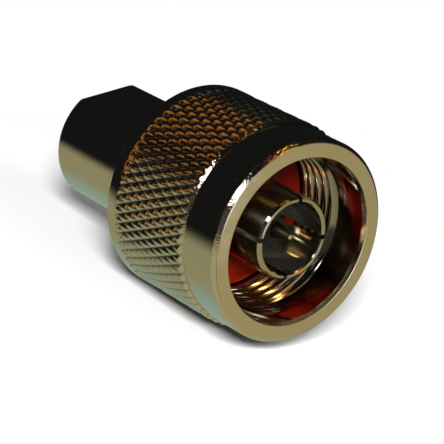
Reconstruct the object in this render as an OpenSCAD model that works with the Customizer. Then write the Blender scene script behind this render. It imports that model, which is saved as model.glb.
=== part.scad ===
// N type cable plug: a knurled coupling nut that turns freely on a round barrel with two
// wrench flats, around a slotted outer contact, a centre pin and a red interface gasket.
// It stands on its rear end with the mating side up: +Z runs along the axis, and Z is 0 at
// the barrel's rear end. Most places are given as a depth behind the nut's mating face.

/* [Overall] */
// Length from the nut's mating face to the barrel's rear end
total_len = 30.7; // [30.7:0.1:36]

/* [Coupling nut] */
// Diameter over the knurl and the rear shoulder
nut_d = 20.5; // [20.4:0.1:22]
// Length of the nut along the axis
nut_len = 16.1; // [15.9:0.1:17]
// Diameter of the smooth band ahead of the knurl
band_d = 19.74; // [19.3:0.02:19.8]
// Length of the smooth band, from the mating face
band_len = 4.5; // [3.5:0.1:5.5]
// Radius of the rounding at the band's front rim
rim_round = 0.32; // [0.1:0.02:0.5]
// Length of the smooth shoulder behind the knurl
shoulder_len = 1.5; // [1:0.1:2.5]
// Chamfer at the nut's rear edge
nut_rear_edge = 0.25; // [0.1:0.05:0.5]
// Diameter of the smooth counterbore at the mouth
counterbore_d = 15.95; // [15.9:0.05:16.3]
// Depth at which the counterbore gives way to the thread
counterbore_depth = 3.8; // [3:0.1:4.2]
// Width of the bevel at the mouth, across the axis
mouth_bevel_w = 0.2; // [0.1:0.05:0.4]
// Length of the bevel at the mouth, along the axis
mouth_bevel_len = 0.45; // [0.2:0.05:0.8]
// Minor diameter of the 5/8-24 coupling thread, drawn as a plain bore
thread_minor_d = 14.8; // [14.7:0.05:15]
// Depth at which the thread ends
thread_end_depth = 8.6; // [8:0.1:8.9]
// Diameter of the relief behind the thread
relief_d = 15.9; // [15.6:0.1:16.2]

/* [Knurl] */
// Number of diamonds around the nut
knurl_count = 64; // [48:1:72]
// Half the length of one diamond along the axis
knurl_half_pitch = 1.05; // [0.8:0.05:1.4]
// Depth of the knurl's grooves
knurl_depth = 0.3; // [0.15:0.01:0.32]

/* [Outer contact] */
// Outer diameter of the slotted sleeve
sleeve_d = 8.1; // [8:0.01:8.15]
// Bore of the sleeve
sleeve_bore_d = 7; // [6.9:0.01:7.1]
// Distance of the sleeve's tip behind the mating face
sleeve_depth = 0.93; // [0.5:0.01:1.5]
// Chamfer around the outside of the sleeve's tip
sleeve_tip_edge = 0.2; // [0.1:0.05:0.3]
// Width of each slot
slot_w = 0.45; // [0.2:0.05:0.6]
// Length of each slot from the tip
slot_len = 6; // [4:0.1:7.5]
// Turn of the slots about the axis, from +X
slot_turn = -14; // [-45:1:45]
// Width of the sleeve's seating collar beyond its outside
collar_w = 0.7; // [0.5:0.05:0.9]
// Step from the sleeve's outside to its shank in the body
shank_step = 0.25; // [0.15:0.05:0.3]

/* [Interface gasket] */
// Depth of the gasket's front face
gasket_depth = 9.3; // [9.2:0.1:9.6]
// Thickness of the gasket
gasket_t = 1.6; // [1.2:0.1:1.8]
// Rounding of the gasket's corners
gasket_round = 0.2; // [0.1:0.05:0.4]
// How far the gasket stands proud of the collar
gasket_proud = 0.3; // [0.2:0.05:0.5]

/* [Body] */
// Diameter of the barrel
barrel_d = 12.2; // [12:0.1:12.6]
// Distance across the two wrench flats
flats_w = 10.4; // [10.2:0.1:11.4]
// Length of the wrench flats from the rear end
flats_len = 13; // [8:0.1:13.5]
// Chamfer at the barrel's rear edge
barrel_edge = 0.15; // [0.05:0.05:0.3]
// Bore of the barrel
body_bore_d = 9; // [8.9:0.05:9.1]
// Chamfer at the mouth of the barrel's bore
bore_edge = 0.2; // [0.1:0.05:0.3]
// Diameter of the flange that the nut bears on
flange_d = 14.4; // [14:0.1:14.6]
// Thickness of the flange
flange_t = 1.5; // [1.2:0.1:1.8]
// Thickness of the wall that holds the outer contact's shank
front_wall = 2; // [1.6:0.1:2.2]

/* [Retaining ring] */
// Width of the ring along the axis
ring_w = 1; // [0.8:0.05:1.2]
// Depth of the ring's groove in the barrel
ring_seat = 0.5; // [0.3:0.05:0.6]
// How far the ring stands out of the barrel
ring_out = 0.55; // [0.4:0.05:0.7]
// Distance from the nut's inner shoulder back to the ring's groove in the nut
ring_back = 0.85; // [0.6:0.05:1.2]
// Gap in the split ring
ring_gap = 1.6; // [0.8:0.1:3]

/* [Centre contact] */
// Diameter of the pin
pin_d = 1.65; // [1.6:0.01:1.68]
// Distance of the pin's tip behind the sleeve's tip
pin_depth = 0.4; // [0.2:0.05:0.8]
// Length of the pin's tapered tip
pin_taper_len = 2; // [1:0.1:2.4]
// Diameter of the pin's blunt end
pin_end_d = 0.4; // [0.2:0.05:0.6]
// Distance of the pin's shoulder behind the sleeve's tip
line_depth = 5.28; // [5.2:0.01:5.4]
// Diameter of the contact behind the pin's shoulder
line_d = 3.04; // [3:0.01:3.1]
// Diameter of the collar caught between the insulators
contact_collar_d = 4; // [3.8:0.1:4.4]
// Thickness of that collar
contact_collar_t = 0.8; // [0.5:0.1:0.9]
// Diameter of the solder cup
cup_d = 2.6; // [2.2:0.1:2.8]
// Length of the solder cup behind the collar
cup_len = 3.5; // [3:0.1:3.6]
// Bore of the solder cup
cup_bore_d = 1; // [0.9:0.05:1.4]
// Depth of the solder cup's bore
cup_bore_len = 2.5; // [2:0.1:2.8]
// Diameter of the solder cup's side hole
cup_hole_d = 0.6; // [0.4:0.05:0.8]

/* [Insulators] */
// Depth of the front insulator's nose
nose_depth = 9.5; // [8:0.1:10.5]
// Thickness of the front insulator's flange
insulator_flange_t = 1.2; // [1.1:0.1:1.6]
// Length of the rear insulator
rear_insulator_len = 3.8; // [3.7:0.1:4.2]

/* [Cable clamp] */
// Thickness of the braid clamp's flange
braid_flange_t = 1; // [0.8:0.1:1.3]
// Bore of the braid clamp, over the cable's dielectric
braid_bore_d = 3.6; // [3.4:0.1:4]
// Diameter of the braid clamp's hub
braid_hub_d = 6.8; // [6.4:0.1:7.2]
// Length of the hub's straight part
braid_hub_len = 1.5; // [1:0.1:2]
// Diameter of the hub's tapered end
braid_tip_d = 5.2; // [4.6:0.1:5.6]
// Length of the hub's tapered end
braid_taper_len = 1; // [0.8:0.1:1.3]
// Bore of the cable gasket
cable_gasket_d = 5.1; // [4.9:0.05:5.15]
// Length of the cable gasket behind the braid clamp's tip
cable_gasket_len = 2; // [1.5:0.1:2.4]
// Bore of the clamp washer
washer_bore_d = 5.1; // [5:0.05:5.15]
// Thickness of the clamp washer
washer_t = 0.6; // [0.4:0.05:0.8]
// Bore of the clamp nut, where the cable enters
entry_d = 5.5; // [5.5:0.05:5.8]
// Distance of the clamp nut's rear face inside the barrel's rear end
clamp_recess = 0.2; // [0.1:0.05:0.5]
// Width of the clamp nut's spanner slots
spanner_w = 1.2; // [0.8:0.1:1.6]
// Depth of the clamp nut's spanner slots
spanner_depth = 1.2; // [0.8:0.1:1.8]

/* [Clearances] */
// Running clearance of the nut on the barrel, on the radius
run_gap = 0.08; // [0.05:0.01:0.1]
// Play of the nut along the axis, at the flange and at the ring
nut_play = 0.1; // [0.05:0.01:0.15]
// Clearance between the ring's outside and the nut's groove
ring_free = 0.1; // [0.05:0.05:0.3]
// Clearance of a seated piece, on the radius
seat_gap = 0.03; // [0.02:0.01:0.05]

/* [Hidden] */
$fn = 96;

// A small length by which one solid runs into or past another
lap = 0.15;
nickel = [0.74, 0.73, 0.69];
steel = [0.62, 0.63, 0.64];
silver = [0.86, 0.86, 0.83];
silicone = [0.80, 0.12, 0.05];
ptfe = [0.93, 0.93, 0.90];
neoprene = [0.13, 0.13, 0.14];

// Radii
nut_r = nut_d / 2;
band_r = band_d / 2;
knurl_r = nut_r - 0.02;
blank_r = band_r - 0.1;
barrel_r = barrel_d / 2;
bore_r = body_bore_d / 2;
insert_r = bore_r - seat_gap;
sleeve_r = sleeve_d / 2;
shank_r = sleeve_r + shank_step;
collar_r = sleeve_r + collar_w;
line_r = line_d / 2;
journal_r = barrel_r + run_gap;

// Depths behind the mating face, from front to rear
knurl_front = band_len + nut_r - band_r;
knurl_end = nut_len - shoulder_len;
flange_front = gasket_depth + gasket_t;
flange_back = flange_front + flange_t;
nut_shoulder = flange_back + nut_play;
ring_front = nut_shoulder + ring_back + nut_play;
collar_front = gasket_depth + gasket_proud;
shank_end = flange_front + front_wall;
contact_collar_front = shank_end + insulator_flange_t - contact_collar_t;
insulator_joint = shank_end + insulator_flange_t;
braid_front = insulator_joint + rear_insulator_len;
braid_hub_front = braid_front + braid_flange_t;
braid_taper_front = braid_hub_front + braid_hub_len;
braid_tip = braid_taper_front + braid_taper_len;
cable_gasket_front = braid_taper_front;
washer_front = braid_tip + cable_gasket_len;
clamp_front = washer_front + washer_t;
clamp_back = total_len - clamp_recess;

// A closed outline of [radius, depth] points, turned about the axis
module turned(outline)
    rotate_extrude()
        polygon([for (p = outline) [p[0], total_len - p[1]]]);

// Points of a quarter round between two directions, in [radius, depth]
function round_points(centre, radius, from, to, steps = 5) = [
    for (i = [0:steps])
        let (turn = from + (to - from) * i / steps)
        [centre[0] + radius * cos(turn), centre[1] - radius * sin(turn)]
];

// The nut's turned blank: band, knurl seat, rear shoulder and bearing wall
module nut_blank() {
    minor_r = thread_minor_d / 2;
    counterbore_r = counterbore_d / 2;
    relief_r = relief_d / 2;
    lead = counterbore_r - minor_r;
    turned(concat(
        [[counterbore_r + mouth_bevel_w, 0]],
        round_points([band_r - rim_round, rim_round], rim_round, 90, 0),
        [
            [band_r, band_len],
            [blank_r, band_len],
            [blank_r, knurl_end],
            [nut_r, knurl_end],
            [nut_r, nut_len - nut_rear_edge],
            [nut_r - nut_rear_edge, nut_len],
            [journal_r, nut_len],
            [journal_r, nut_shoulder],
            [relief_r, nut_shoulder],
            [relief_r, thread_end_depth],
            [minor_r, thread_end_depth],
            [minor_r, counterbore_depth + lead],
            [counterbore_r, counterbore_depth],
            [counterbore_r, mouth_bevel_len]
        ]
    ));
}

// The diamond knurl as a ring. Grooves of both hands cross at every even corner of a grid,
// and a pyramid stands on every odd corner. Its front end is chamfered down to the band, and
// both ends run into the blank.
module knurl_ring() {
    columns = 2 * knurl_count;
    length = knurl_end - knurl_front;
    rows = max(2, round(length / knurl_half_pitch));
    inner_r = blank_r - lap;
    chamfer_r = knurl_r - knurl_depth / 2;
    // Radius and depth of each ring of corners, from the front end to the rear end
    function depth_of(row) = knurl_front + length * row / rows;
    function radius_of(row, column) = knurl_r - ((row + column) % 2 == 0 ? knurl_depth : 0);
    function corner(radius, depth, column) = [
        radius * cos(360 * column / columns),
        radius * sin(360 * column / columns),
        total_len - depth
    ];
    front_cap = [inner_r, band_len - lap];
    front_foot = [band_r - lap, band_len - lap];
    front_brow = [chamfer_r, knurl_front - lap];
    rear_foot = [knurl_r - lap, knurl_end + lap];
    rear_cap = [inner_r, knurl_end + lap];
    points = concat(
        [for (c = [0:columns - 1]) corner(front_cap[0], front_cap[1], c)],
        [for (c = [0:columns - 1]) corner(front_foot[0], front_foot[1], c)],
        [for (c = [0:columns - 1]) corner(front_brow[0], front_brow[1], c)],
        [for (r = [0:rows], c = [0:columns - 1]) corner(radius_of(r, c), depth_of(r), c)],
        [for (c = [0:columns - 1]) corner(rear_foot[0], rear_foot[1], c)],
        [for (c = [0:columns - 1]) corner(rear_cap[0], rear_cap[1], c)]
    );
    rings = rows + 6;
    function at(ring, column) = (ring % rings) * columns + column % columns;
    // Each four-sided patch is split so that the cut joins two groove crossings
    faces = [
        for (ring = [0:rings - 1], c = [0:columns - 1])
            let (
                a = at(ring, c),
                b = at(ring, c + 1),
                d = at(ring + 1, c + 1),
                e = at(ring + 1, c),
                split = (ring - 3 + c) % 2 == 0
            )
            each split ? [[a, b, d], [a, d, e]] : [[a, b, e], [b, d, e]]
    ];
    polyhedron(points, faces);
}

module coupling_nut() {
    ring_r = barrel_r + ring_out + ring_free;
    groove_w = ring_w + 2 * nut_play;
    color(nickel)
    difference() {
        union() {
            nut_blank();
            knurl_ring();
        }
        translate([0, 0, total_len - ring_front - ring_w - nut_play])
            cylinder(r = ring_r, h = groove_w);
    }
}

// Split ring of square section, half in the barrel's groove and half in the nut's
module retaining_ring() {
    inner_r = barrel_r - ring_seat + seat_gap;
    outer_r = barrel_r + ring_out;
    color(steel)
    difference() {
        turned([
            [inner_r, ring_front], [outer_r, ring_front],
            [outer_r, ring_front + ring_w], [inner_r, ring_front + ring_w]
        ]);
        translate([0, -ring_gap / 2, total_len - ring_front - ring_w - lap])
            cube([outer_r + lap, ring_gap, ring_w + 2 * lap]);
    }
}

module interface_gasket() {
    inner_r = collar_r + seat_gap;
    outer_r = flange_d / 2;
    top = gasket_depth + gasket_round;
    color(silicone)
        turned(concat(
            [[inner_r, flange_front]],
            round_points([inner_r + gasket_round, top], gasket_round, 180, 90),
            round_points([outer_r - gasket_round, top], gasket_round, 90, 0),
            [[outer_r, flange_front]]
        ));
}

// Barrel, flange and front wall turned in one piece, with two milled flats
module plug_body() {
    groove_r = barrel_r - ring_seat;
    hole_r = shank_r + seat_gap;
    color(nickel)
    difference() {
        turned([
            [hole_r, flange_front],
            [flange_d / 2, flange_front],
            [flange_d / 2, flange_back],
            [barrel_r, flange_back],
            [barrel_r, ring_front],
            [groove_r, ring_front],
            [groove_r, ring_front + ring_w],
            [barrel_r, ring_front + ring_w],
            [barrel_r, total_len - barrel_edge],
            [barrel_r - barrel_edge, total_len],
            [bore_r + bore_edge, total_len],
            [bore_r, total_len - bore_edge],
            [bore_r, shank_end],
            [hole_r, shank_end]
        ]);
        for (side = [-1, 1])
            translate([-barrel_r, side * (flats_w / 2 + barrel_r / 2) - barrel_r / 2, -lap])
                cube([barrel_d, barrel_r, flats_len + lap]);
    }
}

// Slotted sleeve with the collar that seats it on the body's front wall. The outline is turned
// so that its start lies halfway between two slots.
module outer_contact() {
    inner_r = sleeve_bore_d / 2;
    inner_edge = sleeve_tip_edge / 2;
    slot_base = total_len - sleeve_depth - slot_len;
    half_quarter = 45;
    color(nickel)
    rotate(slot_turn + half_quarter)
    difference() {
        turned([
            [inner_r + inner_edge, sleeve_depth],
            [sleeve_r - sleeve_tip_edge, sleeve_depth],
            [sleeve_r, sleeve_depth + sleeve_tip_edge],
            [sleeve_r, collar_front],
            [collar_r, collar_front],
            [collar_r, flange_front],
            [shank_r, flange_front],
            [shank_r, shank_end],
            [inner_r, shank_end],
            [inner_r, sleeve_depth + inner_edge]
        ]);
        for (turn = [-half_quarter, half_quarter])
            rotate(turn)
                translate([-sleeve_d, -slot_w / 2, slot_base])
                    cube([2 * sleeve_d, slot_w, slot_len + lap]);
    }
}

module front_insulator() {
    hole_r = line_r + seat_gap;
    nose_r = sleeve_bore_d / 2 - seat_gap;
    pocket_r = contact_collar_d / 2 + seat_gap;
    color(ptfe)
        turned([
            [hole_r, nose_depth],
            [nose_r, nose_depth],
            [nose_r, shank_end],
            [insert_r, shank_end],
            [insert_r, insulator_joint],
            [pocket_r, insulator_joint],
            [pocket_r, contact_collar_front],
            [hole_r, contact_collar_front]
        ]);
}

module rear_insulator() {
    hole_r = cup_d / 2 + seat_gap;
    color(ptfe)
        turned([
            [hole_r, insulator_joint], [insert_r, insulator_joint],
            [insert_r, braid_front], [hole_r, braid_front]
        ]);
}

// Pin with a tapered tip, the stepped line behind it, a collar and a solder cup
module centre_contact() {
    tip = sleeve_depth + pin_depth;
    shoulder = sleeve_depth + line_depth;
    cup_end = insulator_joint + cup_len;
    cup_r = cup_d / 2;
    shoulder_edge = 0.1;
    color(silver)
    difference() {
        turned([
            [0, tip],
            [pin_end_d / 2, tip],
            [pin_d / 2, tip + pin_taper_len],
            [pin_d / 2, shoulder],
            [line_r - shoulder_edge, shoulder],
            [line_r, shoulder + shoulder_edge],
            [line_r, contact_collar_front],
            [contact_collar_d / 2, contact_collar_front],
            [contact_collar_d / 2, insulator_joint],
            [cup_r, insulator_joint],
            [cup_r, cup_end],
            [0, cup_end]
        ]);
        translate([0, 0, total_len - cup_end - lap])
            cylinder(d = cup_bore_d, h = cup_bore_len + lap);
        translate([0, 0, total_len - cup_end + cup_bore_len / 2])
            rotate([90, 0, 0])
                cylinder(d = cup_hole_d, h = cup_d);
    }
}

// Flanged cone that the cable's braid is folded over
module braid_clamp() {
    color(nickel)
        turned([
            [braid_bore_d / 2, braid_front],
            [insert_r, braid_front],
            [insert_r, braid_hub_front],
            [braid_hub_d / 2, braid_hub_front],
            [braid_hub_d / 2, braid_taper_front],
            [braid_tip_d / 2, braid_tip],
            [braid_bore_d / 2, braid_tip]
        ]);
}

// Rubber ring with a conical mouth that takes the braid clamp's taper
module cable_gasket() {
    mouth = braid_hub_d / 2 + seat_gap;
    throat = braid_tip_d / 2 + seat_gap;
    color(neoprene)
        turned([
            [mouth, cable_gasket_front],
            [insert_r, cable_gasket_front],
            [insert_r, washer_front],
            [cable_gasket_d / 2, washer_front],
            [cable_gasket_d / 2, braid_tip],
            [throat, braid_tip]
        ]);
}

module clamp_washer() {
    color(nickel)
        turned([
            [washer_bore_d / 2, washer_front], [insert_r, washer_front],
            [insert_r, clamp_front], [washer_bore_d / 2, clamp_front]
        ]);
}

// Gland nut inside the barrel's rear end, with crossed spanner slots
module clamp_nut() {
    edge = bore_edge;
    color(nickel)
    difference() {
        turned([
            [entry_d / 2, clamp_front],
            [insert_r - edge, clamp_front],
            [insert_r, clamp_front + edge],
            [insert_r, clamp_back],
            [entry_d / 2, clamp_back]
        ]);
        for (turn = [0, 90])
            rotate(turn)
                translate([-barrel_r, -spanner_w / 2, total_len - clamp_back - lap])
                    cube([barrel_d, spanner_w, spanner_depth + lap]);
    }
}

coupling_nut();
retaining_ring();
interface_gasket();
plug_body();
outer_contact();
front_insulator();
rear_insulator();
centre_contact();
braid_clamp();
cable_gasket();
clamp_washer();
clamp_nut();
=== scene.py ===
"""Dressed model of a clamp type coaxial cable plug with a knurled coupling nut.

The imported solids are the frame. The coupling nut is drawn again here with its real thread
and a finer knurl, and the interface gasket with its lip. Every other solid keeps its shape
and gets its finish. Lengths are in metres; a depth is measured from the nut's mating face
back towards the cable.
"""

import math

import bpy
import numpy as np
from mathutils import Matrix, Vector


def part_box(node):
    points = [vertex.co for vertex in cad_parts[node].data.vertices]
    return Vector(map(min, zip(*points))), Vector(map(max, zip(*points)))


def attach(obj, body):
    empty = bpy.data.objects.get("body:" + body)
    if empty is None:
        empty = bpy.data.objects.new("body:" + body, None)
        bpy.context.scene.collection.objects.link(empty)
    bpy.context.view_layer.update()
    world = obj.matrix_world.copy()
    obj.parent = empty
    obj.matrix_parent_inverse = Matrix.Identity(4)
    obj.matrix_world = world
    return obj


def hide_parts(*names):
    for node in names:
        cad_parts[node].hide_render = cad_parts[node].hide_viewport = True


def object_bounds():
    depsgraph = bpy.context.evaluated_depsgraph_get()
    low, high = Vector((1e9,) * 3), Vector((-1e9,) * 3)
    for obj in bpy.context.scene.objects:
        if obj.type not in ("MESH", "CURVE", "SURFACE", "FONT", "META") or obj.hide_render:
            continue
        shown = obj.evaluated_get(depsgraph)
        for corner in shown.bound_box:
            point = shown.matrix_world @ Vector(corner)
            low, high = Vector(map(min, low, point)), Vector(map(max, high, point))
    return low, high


bl_info = {
    "name": "Coaxial cable plug",
    "version": (1, 0, 0),
    "blender": (4, 5, 0),
    "location": "View3D > Sidebar > Cable plug",
    "description": "Dresses a clamp type coaxial plug with its knurl, thread, gasket and finishes",
    "category": "Add Mesh",
}

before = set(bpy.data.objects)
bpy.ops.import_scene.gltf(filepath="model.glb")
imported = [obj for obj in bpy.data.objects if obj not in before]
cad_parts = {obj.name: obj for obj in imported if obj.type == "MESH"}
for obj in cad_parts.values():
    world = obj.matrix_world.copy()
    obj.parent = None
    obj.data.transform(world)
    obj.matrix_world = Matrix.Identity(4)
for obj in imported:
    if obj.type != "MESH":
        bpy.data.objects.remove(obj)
CAD_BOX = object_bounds()

MM = 0.001
TOP = max(corner[2] for corner in CAD_BOX)  # height of the nut's mating face
MIDDLE = Vector((0, 0, 20 * MM))  # where the lamps aim and the tent is centred


def linear(hex_colour):
    """Turns an sRGB hex colour into linear red, green and blue."""
    parts = np.array([int(hex_colour[i : i + 2], 16) for i in (0, 2, 4)]) / 255
    low = parts / 12.92
    high = ((parts + 0.055) / 1.055) ** 2.4
    return tuple(float(c) for c in np.where(parts <= 0.04045, low, high))


def length(name, description, millimetres):
    """One length of a property group, in metres, with its default given in millimetres."""
    return bpy.props.FloatProperty(
        name=name,
        description=description,
        default=millimetres * MM,
        precision=5,
        unit="LENGTH",
        subtype="DISTANCE",
    )


def colour(name, description, hex_colour):
    """One colour of a property group, given as sRGB hex."""
    return bpy.props.FloatVectorProperty(
        name=name,
        description=description,
        default=linear(hex_colour),
        size=3,
        min=0.0,
        max=1.0,
        subtype="COLOR",
    )


# The solid nut's sizes in millimetres. Its outside is faceted, so its radius is the least one.
NUT_LOW, NUT_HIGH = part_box("coupling_nut")
NUT_R = min(-NUT_LOW[0], NUT_HIGH[0], -NUT_LOW[1], NUT_HIGH[1]) / MM
NUT_LENGTH = (NUT_HIGH[2] - NUT_LOW[2]) / MM


class NutSizes(bpy.types.PropertyGroup):
    """Sizes of the coupling nut."""

    outer_r: length("Outer radius", "Radius over the rear shoulder", NUT_R)
    nut_length: length("Length", "Length of the nut along the axis", NUT_LENGTH)
    band_r: length("Band radius", "Radius of the smooth front band", 9.87)
    band_length: length("Band length", "Length of the smooth front band", 4.5)
    rim_bevel: length("Rim bevel", "Bevel of the front rim", 0.36)
    crest_r: length("Knurl radius", "Radius over the knurl's points", 10.23)
    knurl_depth: length("Knurl depth", "Depth of the knurl's grooves", 0.205)
    knurl_end: length("Knurl end", "Depth at which the knurl ends", 14.6)
    rear_edge: length("Rear edge", "Chamfer at the rear edge", 0.25)
    mouth_r: length("Mouth radius", "Radius of the smooth counterbore at the mouth", 7.975)
    mouth_bevel: length("Mouth bevel", "Width of the bevel at the mouth", 0.2)
    mouth_bevel_end: length("Mouth bevel end", "Depth at which that bevel ends", 0.45)
    thread_start: length("Thread start", "Depth at which the thread starts", 3.8)
    thread_end: length("Thread end", "Depth at which the thread ends", 8.6)
    minor_r: length("Minor radius", "Radius over the thread's crests", 7.4)
    major_r: length("Major radius", "Radius of the thread's roots", 7.93)
    relief_r: length("Relief radius", "Radius of the relief behind the thread", 7.95)
    pitch: length("Pitch", "Advance of the thread in one turn", 25.4 / 24)
    inner_shoulder: length("Inner shoulder", "Depth of the nut's bearing shoulder", 12.5)
    journal_r: length("Journal radius", "Radius of the bore that turns on the barrel", 6.18)
    groove_r: length("Groove radius", "Radius of the groove for the retaining ring", 6.75)
    groove_start: length("Groove start", "Depth at which that groove starts", 13.35)
    groove_end: length("Groove end", "Depth at which that groove ends", 14.55)
    diamonds: bpy.props.IntProperty(
        name="Diamonds", description="Number of diamonds around the nut", default=64, min=24
    )
    half_rows: bpy.props.IntProperty(
        name="Half rows", description="Rows of half diamonds along the nut", default=9, min=2
    )


class GasketSizes(bpy.types.PropertyGroup):
    """Sizes of the interface gasket."""

    inner_r: length("Inner radius", "Radius of the hole around the sleeve's collar", 4.78)
    outer_r: length("Outer radius", "Radius of the ring's back part", 7.2)
    lip_r: length("Lip radius", "Radius of the lip that spreads into the nut's relief", 7.82)
    front: length("Front", "Depth of the front face", 9.3)
    lip_back: length("Lip back", "Depth at which the lip ends", 10.0)
    back: length("Back", "Depth of the back face", 10.9)
    rounding: length("Rounding", "Rounding of the front edges", 0.2)


class FinishColours(bpy.types.PropertyGroup):
    """Colours of the plating, the rubbers and the insulators."""

    nickel: colour("Nickel", "Nickel plate on the nut, the barrel and the fittings in it", "D9D3C6")
    silver: colour("Silver", "Silver plate on the centre pin", "EAE8E0")
    sleeve: colour("Sleeve", "Dulled nickel plate on the sprung sleeve", "C4BEB1")
    steel: colour("Spring steel", "The split retaining ring", "9FA2A6")
    silicone: colour("Silicone", "The red interface gasket", "8C1606")
    ptfe: colour("PTFE", "The two insulators", "DCDCD6")
    neoprene: colour("Neoprene", "The cable gasket", "232325")


class StageSettings(bpy.types.PropertyGroup):
    """The camera's lens, the light, how the plug lies and the floor's colour."""

    lens: bpy.props.FloatProperty(
        name="Lens", description="Focal length on a 36 mm sensor", default=164.51, unit="CAMERA"
    )
    key_power: bpy.props.FloatProperty(
        name="Key lamp", description="Power of the main lamp", default=2.93, unit="POWER"
    )
    fill_power: bpy.props.FloatProperty(
        name="Fill lamp", description="Power of the weaker lamp", default=0.55, unit="POWER"
    )
    world_level: bpy.props.FloatProperty(
        name="Room light", description="Level of the even light from all round", default=0.15
    )
    rest_turn: bpy.props.FloatProperty(
        name="Lying angle",
        description="Angle around the axis at which the plug touches the floor",
        default=math.radians(74),
        subtype="ANGLE",
    )
    rest_lean: bpy.props.FloatProperty(
        name="Lean",
        description="Angle between the axis and the floor",
        default=math.radians(5),
        subtype="ANGLE",
    )
    floor: colour("Floor", "The pale floor", "FAFAFA")


# ---------------------------------------------------------------- mesh helpers


def rounded(corners, support=0.04 * MM):
    """Rounds the corners of an open outline in the (radius, depth) plane.

    Each corner is (radius, depth, rounding, steps). A corner with a rounding is replaced by
    the arc that touches both its sides: the arc starts rounding / tan(half angle) from the
    corner, and its centre lies on the bisector. A point is put a little outside each end of
    the arc, so that the flat beside it is shaded flat.
    """
    points = np.array([c[:2] for c in corners], float)
    out = [points[:1]]
    for i in range(1, len(corners) - 1):
        here = points[i]
        radius, steps = corners[i][2], corners[i][3]
        if radius <= 0:
            out.append(here[None])
            continue
        back, ahead = points[i - 1] - here, points[i + 1] - here
        back_len, ahead_len = np.linalg.norm(back), np.linalg.norm(ahead)
        back, ahead = back / back_len, ahead / ahead_len
        half = math.acos(np.clip(back @ ahead, -1, 1)) / 2
        run = radius / math.tan(half)
        if run > 0.49 * min(back_len, ahead_len):
            run = 0.49 * min(back_len, ahead_len)
            radius = run * math.tan(half)
        bisector = (back + ahead) / np.linalg.norm(back + ahead)
        centre = here + bisector * radius / math.sin(half)
        first, last = here + back * run - centre, here + ahead * run - centre
        share = np.linspace(0, 1, steps + 1)[:, None]
        sweep = math.pi - 2 * half
        arc = np.sin((1 - share) * sweep) * first + np.sin(share * sweep) * last
        outer = min(support, 0.2 * (min(back_len, ahead_len) - run))
        out.append((here + back * (run + outer))[None])
        out.append(centre + arc / math.sin(sweep))
        out.append((here + ahead * (run + outer))[None])
    out.append(points[-1:])
    return np.concatenate(out)


def closed_grid(name, radius, depth, flip_cut):
    """Makes a ring-shaped solid from a grid that closes both ways.

    radius and depth have one row per ring of the outline and one column per step of the
    turn. A vertex lies at (radius cos a, radius sin a, top - depth), where a runs once round
    over the columns. Each patch is cut into two triangles, from its first corner where
    flip_cut is false and from its second where it is true.
    """
    rings, columns = radius.shape
    turn = np.arange(columns) * (2 * math.pi / columns)
    places = np.stack([radius * np.cos(turn), radius * np.sin(turn), TOP - depth], -1)
    ring, column = np.meshgrid(np.arange(rings), np.arange(columns), indexing="ij")
    next_ring, next_column = (ring + 1) % rings, (column + 1) % columns
    a = ring * columns + column
    b = ring * columns + next_column
    c = next_ring * columns + next_column
    d = next_ring * columns + column
    cut = np.broadcast_to(flip_cut, a.shape)[..., None]
    one = np.where(cut, np.stack([a, b, d], -1), np.stack([a, b, c], -1))
    two = np.where(cut, np.stack([b, c, d], -1), np.stack([a, c, d], -1))
    faces = np.stack([one, two], 2).reshape(-1, 3)[:, ::-1]
    mesh = bpy.data.meshes.new(name)
    mesh.from_pydata(places.reshape(-1, 3), [], faces)
    mesh.shade_smooth()
    return placed(name, mesh)


def placed(name, data):
    """Adds a mesh, a lamp or a camera to the scene. Its object starts at the origin."""
    thing = bpy.data.objects.new(name, data)
    bpy.context.scene.collection.objects.link(thing)
    return thing


def store(mesh, name, values):
    """Keeps one number per vertex as an attribute of the mesh."""
    layer = mesh.attributes.new(name, "FLOAT", "POINT")
    layer.data.foreach_set("value", np.ascontiguousarray(values, np.float32).ravel())


# ---------------------------------------------------------------- the two new pieces

FACETS = 4  # along each side of a half diamond of the knurl
CHAMFER_RINGS = 9  # on the chamfer ahead of the knurl
THREAD_RINGS = 13  # to each pitch of the thread
GASKET_COLUMNS = 192  # around the gasket
RUN_OUT_SLOPE = 0.6  # radius over depth where the knurl's grooves run out behind
THREAD_EXIT_SLOPE = 1.5  # radius over depth where the thread runs into the relief
HAIR = 0.001  # a share or a length in millimetres too small to matter


def soft_smaller(one, other, reach):
    """The smaller of two numbers, rounded where they differ by less than reach.

    It is their minimum, less the square of what reach has over their difference divided by
    four times reach.
    """
    reach = np.maximum(reach, 1e-9)
    over = np.maximum(reach - np.abs(one - other), 0)
    return np.minimum(one, other) - over**2 / (4 * reach)


def knurl_height(across, along):
    """Share of the knurl's full height, 0 in a deep groove and 1 on top.

    across and along count half diamonds. The deep grooves lie where across - along is even,
    and their sides rise by steep times the distance to the groove. The grooves that cross
    them lie where across + along is even, go down only by the share shallow and rise by the
    distance. The height is the smallest of the two and 1, its ridges rounded by up to an
    eighth of the height and its tops by a quarter. Also gives the distance to the nearest
    groove.
    """
    steep, shallow, ridge_rounding, top_rounding = 1.35, 0.75, 0.12, 0.25
    cross = np.abs((across + along + 1) % 2 - 1)
    deep = np.abs((across - along + 1) % 2 - 1)
    rise = steep * deep
    side = soft_smaller(rise, 1 - shallow + cross, ridge_rounding * np.minimum(rise, 1))
    return soft_smaller(side, 1, top_rounding), np.minimum(cross, deep)


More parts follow.
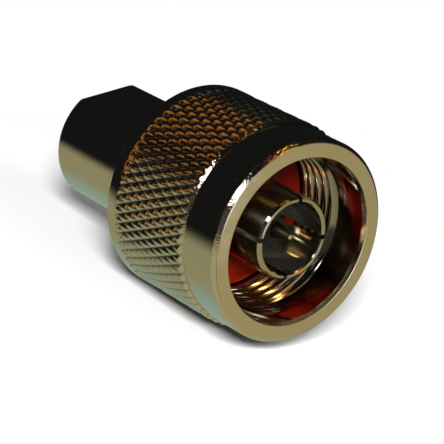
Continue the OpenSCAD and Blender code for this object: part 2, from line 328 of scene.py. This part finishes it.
def thread_radius(turn, depth, sizes):
    """Radius of the right-handed 60 degree thread at each turn angle and depth.

    The distance from the middle of the nearest groove sets the radius: flat at the root for
    an eighth of the pitch, then a 30 degree flank down to the crest's radius.
    """
    phase = depth / sizes.pitch + turn / (2 * math.pi)
    away = np.abs((phase + 0.5) % 1 - 0.5) * sizes.pitch
    root_half = sizes.pitch / 16
    flank = sizes.major_r - (away - root_half) / math.tan(math.radians(30))
    return np.clip(flank, sizes.minor_r, sizes.major_r)


def knurled_nut(sizes):
    """The coupling nut: band, diamond knurl, rear shoulder, bore, thread and mouth."""
    columns = 2 * sizes.diamonds * FACETS
    turn = np.arange(columns) * (2 * math.pi / columns)

    def turned(corners):
        """Rings of a plain turned stretch. Its corners' roundings are in millimetres."""
        outline = rounded([(r, d, rounding * MM, steps) for r, d, rounding, steps in corners])
        flat = np.ones(columns)
        return outline[:, :1] * flat, outline[:, 1:] * flat

    # From inside the counterbore out over the rim to the band's rear edge. The last corner
    # only aims the rounding of the one before it, so its ring is left out.
    bevel_r = sizes.mouth_r + sizes.mouth_bevel
    front = turned(
        [
            (sizes.mouth_r, 1.2 * MM, 0, 0),
            (sizes.mouth_r, sizes.mouth_bevel_end, 0.05, 2),
            (bevel_r, 0, 0.04, 2),
            (sizes.band_r - sizes.rim_bevel, 0, 0.08, 4),
            (sizes.band_r, sizes.rim_bevel, 0.08, 4),
            (sizes.band_r, sizes.band_length, 0.05, 2),
            (sizes.band_r + 0.12 * MM, sizes.band_length + 0.12 * MM, 0, 0),
        ]
    )
    front = tuple(part[:-1] for part in front)

    # The knurl and the chamfer ahead of it, which cuts its points off at 45 degrees. The
    # grooves run out behind.
    knurl_start = sizes.band_length + sizes.crest_r - sizes.band_r
    row_length = (sizes.knurl_end - knurl_start) / sizes.half_rows
    chamfer_start = sizes.band_length + 0.04 * MM
    ahead = np.linspace(chamfer_start, knurl_start, CHAMFER_RINGS + 1)[:-1]
    rows = knurl_start + np.arange(sizes.half_rows * FACETS + 1) * (row_length / FACETS)
    knurl_depths = np.concatenate([ahead, rows])[:, None] * np.ones(columns)
    along = (knurl_depths - knurl_start) / row_length
    across = np.arange(columns) / FACETS
    height, from_groove = knurl_height(across, along)
    knurl_radii = sizes.crest_r - sizes.knurl_depth * (1 - height)
    chamfer = sizes.band_r + knurl_depths - sizes.band_length
    run_out = sizes.crest_r + (knurl_depths - sizes.knurl_end) * RUN_OUT_SLOPE
    knurl_radii = np.minimum(np.maximum(knurl_radii, run_out), chamfer)

    # From the shoulder behind the knurl, round the rear end and forward along the bore
    back = turned(
        [
            (sizes.outer_r, sizes.knurl_end + 0.15 * MM, 0, 0),
            (sizes.outer_r, sizes.nut_length - sizes.rear_edge, 0.05, 2),
            (sizes.outer_r - sizes.rear_edge, sizes.nut_length, 0.05, 2),
            (sizes.journal_r, sizes.nut_length, 0.08, 3),
            (sizes.journal_r, sizes.groove_end, 0.03, 2),
            (sizes.groove_r, sizes.groove_end, 0.03, 2),
            (sizes.groove_r, sizes.groove_start, 0.03, 2),
            (sizes.journal_r, sizes.groove_start, 0.03, 2),
            (sizes.journal_r, sizes.inner_shoulder, 0.05, 2),
            (sizes.relief_r, sizes.inner_shoulder, 0.1, 3),
            (sizes.relief_r, sizes.thread_end + 0.06 * MM, 0, 0),
        ]
    )

    # The thread, from its inner end forward to the counterbore, with a 45 degree lead-in
    rings = round((sizes.thread_end - sizes.thread_start) / sizes.pitch * THREAD_RINGS)
    thread_depths = np.linspace(sizes.thread_end, sizes.thread_start, rings + 1)
    thread_depths = thread_depths[:, None] * np.ones(columns)
    radii = thread_radius(turn, thread_depths, sizes)
    lead_in = sizes.mouth_r - (thread_depths - sizes.thread_start)
    leaving = sizes.relief_r - (sizes.thread_end - thread_depths) * THREAD_EXIT_SLOPE
    thread_radii = np.maximum(radii, np.maximum(lead_in, leaving))

    radius = np.concatenate([front[0], knurl_radii, back[0], thread_radii])
    depth = np.concatenate([front[1], knurl_depths, back[1], thread_depths])

    # Every patch of the knurl is cut along its groove
    cut = np.zeros(radius.shape, bool)
    first = len(front[0]) + len(ahead)
    last = first + sizes.half_rows * FACETS
    row = np.arange(last - first)[:, None] // FACETS
    column = np.arange(columns) // FACETS
    cut[first:last] = (row + column) % 2 == 1
    piece = closed_grid("knurled_coupling_nut", radius, depth, cut)
    mesh = piece.data

    # The bottoms of the knurl's grooves stay sharp: both ends of such an edge lie on one
    knurled = slice(len(front[0]), len(front[0]) + len(knurl_radii))
    bottom = np.zeros(radius.shape, bool)
    bottom[knurled] = from_groove < HAIR
    ends = np.empty(len(mesh.edges) * 2, np.int32)
    mesh.edges.foreach_get("vertices", ends)
    mesh.edges.foreach_set("use_edge_sharp", bottom.ravel()[ends.reshape(-1, 2)].all(1))

    # How far each place lies in a groove, which sets the painted shade there. In the thread it runs
    # from 0.85 on the crests to 1.
    groove = np.zeros(radius.shape)
    groove[knurled] = 1 - height
    in_thread = (thread_radii - sizes.minor_r) / (sizes.mouth_r - sizes.minor_r)
    groove[-len(thread_radii) :] = 0.85 + 0.15 * np.clip(in_thread, 0, 1)
    store(mesh, "groove", groove)

    # The bevels at the rim and the mouth and the knurl's chamfer are left a little ragged
    bevelled = (depth > HAIR * MM) & (depth < sizes.rim_bevel - HAIR * MM)
    off_face = (radius > sizes.band_r - sizes.rim_bevel) | (radius < bevel_r)
    ragged = bevelled & off_face
    ragged[knurled] = depth[knurled] < knurl_start
    store(mesh, "ragged", ragged)
    return piece


def lipped_gasket(sizes):
    """The interface gasket: a flat ring with a lip pressed out into the nut's relief."""
    outline = rounded(
        [
            (sizes.inner_r, sizes.back, 0, 0),
            (sizes.inner_r, sizes.front, sizes.rounding, 4),
            (sizes.lip_r, sizes.front, sizes.rounding, 4),
            (sizes.lip_r, sizes.lip_back, sizes.rounding, 4),
            (sizes.outer_r, sizes.lip_back + sizes.rounding, 0, 0),
            (sizes.outer_r, sizes.back, 0, 0),
        ]
    )
    flat = np.ones(GASKET_COLUMNS)
    radius, depth = outline[:, :1] * flat, outline[:, 1:] * flat
    return closed_grid("lipped_interface_gasket", radius, depth, False)


# ---------------------------------------------------------------- materials

TOOL_FEED = 0.12 * MM  # between turned rings: a real feed of 0.05 mm would be too fine to show
TOOL_MARK = 0.00008 * MM  # depth of a turned ring
HAZE_PATCH = 1.6 * MM
HAZE = 0.04  # roughness that handling adds
BURR = 0.2 * MM  # across, where real ones of 0.05 mm would be too fine to show
BURR_HEIGHT = 0.03 * MM
SKIN_GRAIN = 0.15 * MM
SKIN_RELIEF = 0.004 * MM
SHADE_PATCH = 2.5 * MM


def put(tree, kind, inputs=None, **settings):
    """Adds one shader node with its own settings. inputs gives each socket a value or a link."""
    node = tree.nodes.new(kind)
    for name, value in settings.items():
        setattr(node, name, value)
    for socket, value in (inputs or {}).items():
        if isinstance(value, bpy.types.NodeSocket):
            tree.links.new(value, node.inputs[socket])
        else:
            node.inputs[socket].default_value = value
    return node


def new_material(name):
    """An empty material with its output node."""
    material = bpy.data.materials.new(name)
    material.use_nodes = True
    tree = material.node_tree
    tree.nodes.clear()
    return material, tree, tree.nodes.new("ShaderNodeOutputMaterial")


def turned_marks(tree, mark_size):
    """A number that changes only from one turned ring to the next.

    It is one-dimensional noise of the distance from the axis plus the height, so the rings
    are circles on end faces and hoops on round walls.
    """
    place = put(tree, "ShaderNodeTexCoord").outputs["Object"]
    flat = put(tree, "ShaderNodeVectorMath", {0: place, 1: (1, 1, 0)}, operation="MULTIPLY")
    out = put(tree, "ShaderNodeVectorMath", {0: flat.outputs[0]}, operation="LENGTH")
    height = put(tree, "ShaderNodeSeparateXYZ", {0: place}).outputs["Z"]
    along = put(
        tree, "ShaderNodeMath", {0: out.outputs["Value"], 1: height}, operation="ADD"
    ).outputs[0]
    return put(
        tree,
        "ShaderNodeTexNoise",
        {"W": along, "Scale": 1 / mark_size, "Detail": 2.0, "Roughness": 0.6},
        noise_dimensions="1D",
    ).outputs["Fac"]


def hoop_direction(tree):
    """The direction around the axis at each point, in the world."""
    place = put(tree, "ShaderNodeTexCoord").outputs["Object"]
    apart = put(tree, "ShaderNodeSeparateXYZ", {0: place}).outputs
    back = put(tree, "ShaderNodeMath", {0: apart["Y"], 1: -1.0}, operation="MULTIPLY").outputs[0]
    around = put(tree, "ShaderNodeCombineXYZ", {"X": back, "Y": apart["X"]}).outputs[0]
    return put(
        tree,
        "ShaderNodeVectorTransform",
        {0: around},
        vector_type="VECTOR",
        convert_from="OBJECT",
        convert_to="WORLD",
    ).outputs[0]


def plated_metal(name, tint, roughness, brushed=0.0):
    """Metal that was turned or ground, and then in most cases plated.

    Plate copies the blank below it, so its mirror is crossed by the hoops of the tool's feed,
    and handling leaves a faint haze on it in patches. Where the hoops are close and deep
    (brushed), they draw each glint out along the axis.
    """
    material, tree, output = new_material(name)
    place = put(tree, "ShaderNodeTexCoord").outputs["Object"]
    patches = put(
        tree, "ShaderNodeTexNoise", {"Vector": place, "Scale": 1 / HAZE_PATCH, "Detail": 3.0}
    ).outputs["Fac"]
    limits = {"From Min": 0.3, "From Max": 0.7, "To Min": roughness, "To Max": roughness + HAZE}
    dull = put(tree, "ShaderNodeMapRange", {"Value": patches, **limits}).outputs[0]
    hoops = put(
        tree,
        "ShaderNodeBump",
        {"Height": turned_marks(tree, TOOL_FEED), "Strength": 1.0, "Distance": TOOL_MARK},
    ).outputs[0]
    shader = put(
        tree,
        "ShaderNodeBsdfPrincipled",
        {"Base Color": (*tint, 1), "Metallic": 1.0, "Roughness": dull, "Normal": hoops},
    )
    if brushed:
        shader.inputs["Anisotropic"].default_value = brushed
        shader.inputs["Anisotropic Rotation"].default_value = 0.25
        tree.links.new(hoop_direction(tree), shader.inputs["Tangent"])
    tree.links.new(shader.outputs[0], output.inputs["Surface"])
    return material


def knurled_nickel(tint):
    """Nickel, plated bright on the knurled and threaded brass nut.

    It mirrors as the barrel's plate does. Shade is painted into the grooves of the knurl and the
    thread: from six tenths of their depth down, their colour darkens.
    Burrs under the plate of the rim and the chamfer break a glint up into crumbs.
    """
    material = plated_metal("bright_nickel_plate_knurled", tint, 0.07)
    tree = material.node_tree
    shader = next(node for node in tree.nodes if node.type == "BSDF_PRINCIPLED")
    # Painted shade: deep in the grooves of the knurl and the thread, the base colour darkens
    # towards three tenths of the tint.
    groove = put(tree, "ShaderNodeAttribute", attribute_name="groove").outputs["Fac"]
    limits = {"From Min": 0.6, "From Max": 1.0, "To Min": 0.0, "To Max": 0.8}
    deep = put(tree, "ShaderNodeMapRange", {"Value": groove, **limits}).outputs[0]
    dark = tuple(part * 0.3 for part in tint)
    shade = put(
        tree,
        "ShaderNodeMix",
        {"Factor": deep, "A": (*tint, 1), "B": (*dark, 1)},
        data_type="RGBA",
    ).outputs[2]
    tree.links.new(shade, shader.inputs["Base Color"])

    place = put(tree, "ShaderNodeTexCoord").outputs["Object"]
    burrs = put(
        tree, "ShaderNodeTexNoise", {"Vector": place, "Scale": 1 / BURR, "Detail": 1.0}
    ).outputs["Fac"]
    ragged = put(tree, "ShaderNodeAttribute", attribute_name="ragged").outputs["Fac"]
    height = put(tree, "ShaderNodeMath", {0: burrs, 1: ragged}, operation="MULTIPLY").outputs[0]
    hoops = shader.inputs["Normal"].links[0].from_socket
    relief = put(
        tree,
        "ShaderNodeBump",
        {"Height": height, "Strength": 1.0, "Distance": BURR_HEIGHT, "Normal": hoops},
    ).outputs[0]
    tree.links.new(relief, shader.inputs["Normal"])
    return material


def soft_solid(name, tint, roughness, subsurface=0.0):
    """Rubber or plastic with a dull skin.

    The fine grain that a mould or a cutting tool leaves breaks up its gloss, and its colour
    is a little uneven, as in stock that was mixed and pressed.
    """
    material, tree, output = new_material(name)
    place = put(tree, "ShaderNodeTexCoord").outputs["Object"]
    fine = put(
        tree, "ShaderNodeTexNoise", {"Vector": place, "Scale": 1 / SKIN_GRAIN, "Detail": 3.0}
    ).outputs["Fac"]
    broad = put(
        tree, "ShaderNodeTexNoise", {"Vector": place, "Scale": 1 / SHADE_PATCH, "Detail": 2.0}
    ).outputs["Fac"]
    dark = tuple(part * 0.82 for part in tint)
    pale = tuple(min(1, part * 1.1) for part in tint)
    shade = put(
        tree,
        "ShaderNodeMix",
        {"Factor": broad, "A": (*dark, 1), "B": (*pale, 1)},
        data_type="RGBA",
    ).outputs[2]
    grain = put(
        tree, "ShaderNodeBump", {"Height": fine, "Strength": 1.0, "Distance": SKIN_RELIEF}
    ).outputs[0]
    shader = put(
        tree,
        "ShaderNodeBsdfPrincipled",
        {"Base Color": shade, "Roughness": roughness, "Normal": grain},
    )
    shader.inputs["Subsurface Weight"].default_value = subsurface
    tree.links.new(shader.outputs[0], output.inputs["Surface"])
    return material


def dress(node, material):
    """Gives a solid of the frame its finish, in every one of its material slots."""
    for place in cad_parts[node].material_slots:
        place.material = material


# ---------------------------------------------------------------- the stage

TENT_RADIUS = 250 * MM
TENT_TOP = 88  # degrees up and down, past which the tent is open
TENT_CLOTH = "17191A"  # between the panels
TENT_BOUNCE = 0.12  # share of the tent's light that the metal passes on to other surfaces
FLOOR_RADIUS = 600 * MM
FLOOR_SIDES = 96
FLOOR_FADE = (22 * MM, 52 * MM)  # from the plug's rest, where the card turns to plain white
LAMP_DISTANCE = 400 * MM

# Each panel's centre, half its size and its softness are in degrees. It lies over the panels
# before it. A strength over 1 is a lamp as the metal shows it, and the others are walls.
PANELS = [
    # azimuth, elevation, half width, half height, softness, colour, strength
    (190, 40, 36, 20, 16, "33200E", 1.0),
    (318, -74, 52, 6, 8, "37342A", 1.0),
    (246, -64, 20, 6, 8, "7A5220", 1.0),
    (248, -19, 22, 6, 8, "544F42", 1.0),
    (297, -19, 20, 7, 5, "B8702C", 1.0),
    (327, -20, 9, 6, 7, "6E4A2C", 1.0),
    (330, -31, 14, 5, 4, "B07028", 1.0),
    (69, 17, 71, 38, 8, "B3AC86", 1.0),
    (68, -42, 56, 22, 20, "A09C7A", 1.0),
    (104, -52, 36, 34, 30, "96AE9C", 1.0),
    (60, -74, 50, 10, 12, "5C5840", 1.0),
    (50, 66, 50, 6, 8, "5A5436", 1.0),
    (143, 42, 11, 12, 8, "B0A478", 1.0),
    (343, 44, 22, 9, 10, "4A4C44", 1.0),
    (143.5, 57, 3.5, 5, 2, "FFFFFF", 5.0),
    (307.5, 41, 6.5, 3.5, 2, "FFFDF6", 20.0),
    (226, 54, 10, 8, 8, "B06E24", 1.3),
    (224, 57, 4, 3.5, 2, "FFC050", 6.0),
    (240, 39, 5, 4, 3, "FFB840", 6.5),
    (250, 42, 9, 5, 6, "B4641E", 2.2),
    (233, 45, 4.5, 3.5, 2, "FFDC9A", 20.0),
    (85, 44, 3, 2.5, 2, "FF9830", 3.5),
]


def panel_glow(azimuth, elevation):
    """Light of the reflector tent in each direction, in degrees.

    It starts as the cloth's colour. The share of each panel over it falls from 1 to 0 as a
    smooth step, whose width is the panel's softness and whose middle is the panel's edge.
    """
    glow = np.ones(azimuth.shape + (3,)) * np.array(linear(TENT_CLOTH))
    for centre_az, centre_el, half_w, half_h, soft, hex_colour, strength in PANELS:
        aside = np.abs((azimuth - centre_az + 180) % 360 - 180)
        above = np.abs(elevation - centre_el)
        edge = np.clip((half_w - aside) / soft + 0.5, 0, 1)
        edge = edge * np.clip((half_h - above) / soft + 0.5, 0, 1)
        cover = (edge * edge * (3 - 2 * edge))[..., None]
        glow = glow * (1 - cover) + cover * np.array(linear(hex_colour)) * strength
    return glow


def reflector_tent():
    """A ball of cloth with lit panels around the plug, which only the metal sees."""
    azimuth = np.arange(0, 360, 3)
    elevation = np.arange(-TENT_TOP, TENT_TOP + 1, 2)
    elevation, azimuth = np.meshgrid(elevation, azimuth, indexing="ij")
    level, turn = np.radians(elevation), np.radians(azimuth)
    away = np.stack(
        [np.cos(level) * np.cos(turn), np.cos(level) * np.sin(turn), np.sin(level)], -1
    )
    places = away * TENT_RADIUS + np.array(MIDDLE)
    rows, columns = azimuth.shape
    row, column = np.meshgrid(np.arange(rows - 1), np.arange(columns), indexing="ij")
    below, above = row * columns, (row + 1) * columns
    after = (column + 1) % columns
    faces = np.stack([below + column, below + after, above + after, above + column], -1)
    mesh = bpy.data.meshes.new("reflector_tent")
    mesh.from_pydata(places.reshape(-1, 3), [], faces.reshape(-1, 4))
    glow = panel_glow(azimuth, elevation)
    layer = mesh.attributes.new("glow", "FLOAT_COLOR", "POINT")
    rgba = np.concatenate([glow, np.ones((rows, columns, 1))], -1)
    layer.data.foreach_set("color", rgba.astype(np.float32).ravel())
    tent = placed("reflector_tent", mesh)

    # Lit cloth: it glows evenly. The metal shows it whole and passes little of it on.
    material, tree, output = new_material("tent_cloth_lit")
    light = put(tree, "ShaderNodeAttribute", attribute_name="glow").outputs["Color"]
    bounces = put(tree, "ShaderNodeLightPath").outputs["Diffuse Depth"]
    strength = put(
        tree, "ShaderNodeMapRange", {"Value": bounces, "To Min": 1.0, "To Max": TENT_BOUNCE}
    ).outputs[0]
    shader = put(tree, "ShaderNodeEmission", {"Color": light, "Strength": strength})
    tree.links.new(shader.outputs[0], output.inputs["Surface"])
    material.cycles.emission_sampling = "NONE"
    mesh.materials.append(material)
    tent.visible_camera = False
    tent.visible_diffuse = False
    tent.visible_transmission = False
    tent.visible_volume_scatter = False
    tent.visible_shadow = False


def resting_plane(turn, lean, nut):
    """The plane that the plug lies on: a point of it and its upward direction.

    The plug lies on the rear edge of the nut's shoulder at one angle of turn around the
    axis, and the plane leans a little from the axis.
    """
    height = TOP - nut.nut_length + nut.rear_edge
    down = Vector((math.cos(turn), math.sin(turn), 0))
    up = Vector((0, 0, math.sin(lean))) - down * math.cos(lean)
    return down * nut.outer_r + Vector((0, 0, height)), up


def seen_outright(tree):
    """A number that is 1 to the camera, to mirrors and to clear solids, and otherwise 0."""
    ray = put(tree, "ShaderNodeLightPath")
    seen = ray.outputs["Is Camera Ray"]
    for kind in ("Is Glossy Ray", "Is Transmission Ray"):
        seen = put(
            tree, "ShaderNodeMath", {0: seen, 1: ray.outputs[kind]}, operation="MAXIMUM"
        ).outputs[0]
    return seen


def pale_floor(tint, centre, up):
    """A round pale floor that keeps the plug's shadow and fades to plain white further out.

    It is clear from below, so the plug can be looked at from every side.
    """
    turn = np.arange(FLOOR_SIDES)[:, None] * (2 * math.pi / FLOOR_SIDES)
    one = np.array(up.orthogonal().normalized())
    other = np.cross(up, one)
    rim = np.array(centre) + FLOOR_RADIUS * (np.cos(turn) * one + np.sin(turn) * other)
    mesh = bpy.data.meshes.new("pale_floor")
    mesh.from_pydata(rim, [], [tuple(range(FLOOR_SIDES))])
    floor = placed("pale_floor", mesh)

    # White card with a matt coat: it scatters light evenly, so the shadow is soft and plain
    material, tree, output = new_material("matt_white_card")
    place = put(tree, "ShaderNodeTexCoord").outputs["Object"]
    away = put(
        tree, "ShaderNodeVectorMath", {0: place, 1: tuple(centre)}, operation="DISTANCE"
    ).outputs["Value"]
    start, end = FLOOR_FADE
    fade = put(
        tree,
        "ShaderNodeMapRange",
        {"Value": away, "From Min": start, "From Max": end, "To Min": 0.0, "To Max": 1.0},
        interpolation_type="SMOOTHSTEP",
    ).outputs[0]
    share = put(
        tree, "ShaderNodeMath", {0: fade, 1: seen_outright(tree)}, operation="MULTIPLY"
    ).outputs[0]
    card = put(tree, "ShaderNodeBsdfDiffuse", {"Color": (*tint, 1)}).outputs[0]
    white = put(tree, "ShaderNodeEmission", {"Color": (1, 1, 1, 1), "Strength": 1.0}).outputs[0]
    above = put(tree, "ShaderNodeMixShader", {0: share, 1: card, 2: white}).outputs[0]
    clear = put(tree, "ShaderNodeBsdfTransparent").outputs[0]
    below = put(tree, "ShaderNodeNewGeometry").outputs["Backfacing"]
    sided = put(tree, "ShaderNodeMixShader", {0: below, 1: above, 2: clear}).outputs[0]
    tree.links.new(sided, output.inputs["Surface"])
    mesh.materials.append(material)
    floor.visible_glossy = False


def soft_lamp(name, azimuth, elevation, size, power):
    """A square soft lamp at a bearing in degrees from the plug's middle, turned towards it.

    Metal doesn't show it, because the tent's panels are there for that.
    """
    data = bpy.data.lights.new(name, "AREA")
    data.size = size
    data.energy = power
    lamp = placed(name, data)
    az, el = math.radians(azimuth), math.radians(elevation)
    away = Vector((math.cos(el) * math.cos(az), math.cos(el) * math.sin(az), math.sin(el)))
    turn = away.to_track_quat("Z", "Y").to_matrix().to_4x4()
    lamp.matrix_world = Matrix.Translation(MIDDLE + away * LAMP_DISTANCE) @ turn
    lamp.visible_glossy = False


def room_light(level):
    """Even light from all round. The camera sees plain white beyond the floor."""
    world = bpy.data.worlds.new("studio_room")
    world.use_nodes = True
    tree = world.node_tree
    tree.nodes.clear()
    strength = put(
        tree,
        "ShaderNodeMapRange",
        {"Value": seen_outright(tree), "To Min": level, "To Max": 1.0},
    ).outputs[0]
    light = put(tree, "ShaderNodeBackground", {"Color": (1, 1, 1, 1), "Strength": strength})
    put(tree, "ShaderNodeOutputWorld", {"Surface": light.outputs[0]})
    bpy.context.scene.world = world


def camera(lens):
    """The camera, looking down on the mating face from one side."""
    data = bpy.data.cameras.new("camera")
    data.lens = lens
    data.sensor_width = 36.0
    data.clip_start = 1 * MM
    eye = placed("camera", data)
    place = Vector((105.594, -81.118, 158.675)) * MM
    forward = Vector((-0.54467, 0.42995, -0.72005)).normalized()
    right = Vector((-0.79371, 0.01300, 0.60816)).normalized()
    up = right.cross(forward).normalized()
    right = forward.cross(up)
    turn = Matrix((right, up, -forward)).transposed().to_4x4()
    eye.matrix_world = Matrix.Translation(place) @ turn
    bpy.context.scene.camera = eye


# ---------------------------------------------------------------- operators


class CABLE_PLUG_OT_coupling_nut(bpy.types.Operator):
    """Draws the knurled and threaded coupling nut in place of its plain solid"""

    bl_idname = "cable_plug.coupling_nut"
    bl_label = "Coupling nut"

    def execute(self, context):
        piece = knurled_nut(context.scene.plug_nut)
        piece.data.materials.append(knurled_nickel(context.scene.plug_colours.nickel))
        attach(piece, "nut")
        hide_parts("coupling_nut")
        return {"FINISHED"}


class CABLE_PLUG_OT_interface_gasket(bpy.types.Operator):
    """Draws the red gasket with its lip, in place of its plain ring"""

    bl_idname = "cable_plug.interface_gasket"
    bl_label = "Interface gasket"

    def execute(self, context):
        piece = lipped_gasket(context.scene.plug_gasket)

        # Silicone rubber, pigmented red and moulded: satin, and even in its deep shade
        silicone = context.scene.plug_colours.silicone
        piece.data.materials.append(soft_solid("silicone_rubber_moulded", silicone, 0.42))
        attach(piece, "plug")
        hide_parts("interface_gasket")
        return {"FINISHED"}


class CABLE_PLUG_OT_plated_solids(bpy.types.Operator):
    """Gives the plated and steel solids their finish"""

    bl_idname = "cable_plug.plated_solids"
    bl_label = "Plated solids"

    def execute(self, context):
        colours = context.scene.plug_colours

        # Nickel, plated bright on turned brass: a near mirror with a warm tinge
        barrel = plated_metal("bright_nickel_plate_turned", colours.nickel, 0.08)
        dress("plug_body", barrel)

        # Nickel on sprung bronze, rubbed by mating: greyer, its glints drawn out along it
        sleeve = plated_metal("nickel_plate_on_sprung_sleeve", colours.sleeve, 0.08, brushed=1.0)
        dress("outer_contact", sleeve)

        # Silver, plated on turned brass and burnished: the palest mirror of the plug
        pin = plated_metal("silver_plate_burnished", colours.silver, 0.07, brushed=0.9)
        dress("centre_contact", pin)

        # Nickel, plated dull on fittings that stay inside: a soft sheen and no mirror
        fittings = plated_metal("dull_nickel_plate_inside", colours.nickel, 0.3)
        for node in ("clamp_nut", "clamp_washer", "braid_clamp"):
            dress(node, fittings)

        # Spring steel, ground and left bare: grey, with a blurred sheen
        spring = plated_metal("spring_steel_ground", colours.steel, 0.3)
        dress("retaining_ring", spring)
        return {"FINISHED"}


class CABLE_PLUG_OT_soft_solids(bpy.types.Operator):
    """Gives the rubbers and the insulators their finish"""

    bl_idname = "cable_plug.soft_solids"
    bl_label = "Rubbers and insulators"

    def execute(self, context):
        colours = context.scene.plug_colours

        # Neoprene rubber, moulded: nearly black and matt
        dress("cable_gasket", soft_solid("neoprene_rubber_moulded", colours.neoprene, 0.6))

        # PTFE, turned from rod: waxy white, as light soaks a little way into it
        insulator = soft_solid("ptfe_turned", colours.ptfe, 0.45, subsurface=0.1)
        dress("front_insulator", insulator)
        dress("rear_insulator", insulator)
        return {"FINISHED"}


class CABLE_PLUG_OT_stage(bpy.types.Operator):
    """Sets the floor, the reflector tent, the lamps and the camera"""

    bl_idname = "cable_plug.stage"
    bl_label = "Stage"

    def execute(self, context):
        settings = context.scene.plug_stage
        rest, up = resting_plane(settings.rest_turn, settings.rest_lean, context.scene.plug_nut)
        pale_floor(settings.floor, rest, up)
        reflector_tent()
        room_light(settings.world_level)

        # The key lamp casts the shadow, and the fill lamp lifts the gasket's shaded side
        soft_lamp("key_lamp", 306, 42, 100 * MM, settings.key_power)
        soft_lamp("fill_lamp", 225, 55, 200 * MM, settings.fill_power)
        camera(settings.lens)
        context.scene.view_settings.view_transform = "Standard"
        return {"FINISHED"}


class CABLE_PLUG_PT_panel(bpy.types.Panel):
    """Lists the plug's sizes, colours and steps"""

    bl_label = "Cable plug"
    bl_idname = "CABLE_PLUG_PT_panel"
    bl_space_type = "VIEW_3D"
    bl_region_type = "UI"
    bl_category = "Cable plug"

    def draw(self, context):
        layout = self.layout
        for name in GROUPS:
            group = getattr(context.scene, name)
            box = layout.box()
            for field in group.__annotations__:
                box.prop(group, field)
        for operator in OPERATORS:
            layout.operator(operator.bl_idname)


OPERATORS = (
    CABLE_PLUG_OT_coupling_nut,
    CABLE_PLUG_OT_interface_gasket,
    CABLE_PLUG_OT_plated_solids,
    CABLE_PLUG_OT_soft_solids,
    CABLE_PLUG_OT_stage,
)
GROUPS = {
    "plug_nut": NutSizes,
    "plug_gasket": GasketSizes,
    "plug_colours": FinishColours,
    "plug_stage": StageSettings,
}


def register():
    """Registers the property groups, the operators and the panel."""
    for name, group in GROUPS.items():
        bpy.utils.register_class(group)
        setattr(bpy.types.Scene, name, bpy.props.PointerProperty(type=group))
    for operator in OPERATORS:
        bpy.utils.register_class(operator)
    bpy.utils.register_class(CABLE_PLUG_PT_panel)


def unregister():
    """Takes all of them out again."""
    bpy.utils.unregister_class(CABLE_PLUG_PT_panel)
    for operator in reversed(OPERATORS):
        bpy.utils.unregister_class(operator)
    for name, group in GROUPS.items():
        delattr(bpy.types.Scene, name)
        bpy.utils.unregister_class(group)


def main():
    """Draws the plug and its stage."""
    register()
    bpy.ops.cable_plug.coupling_nut()
    bpy.ops.cable_plug.interface_gasket()
    bpy.ops.cable_plug.plated_solids()
    bpy.ops.cable_plug.soft_solids()
    bpy.ops.cable_plug.stage()


if __name__ == "__main__":
    main()
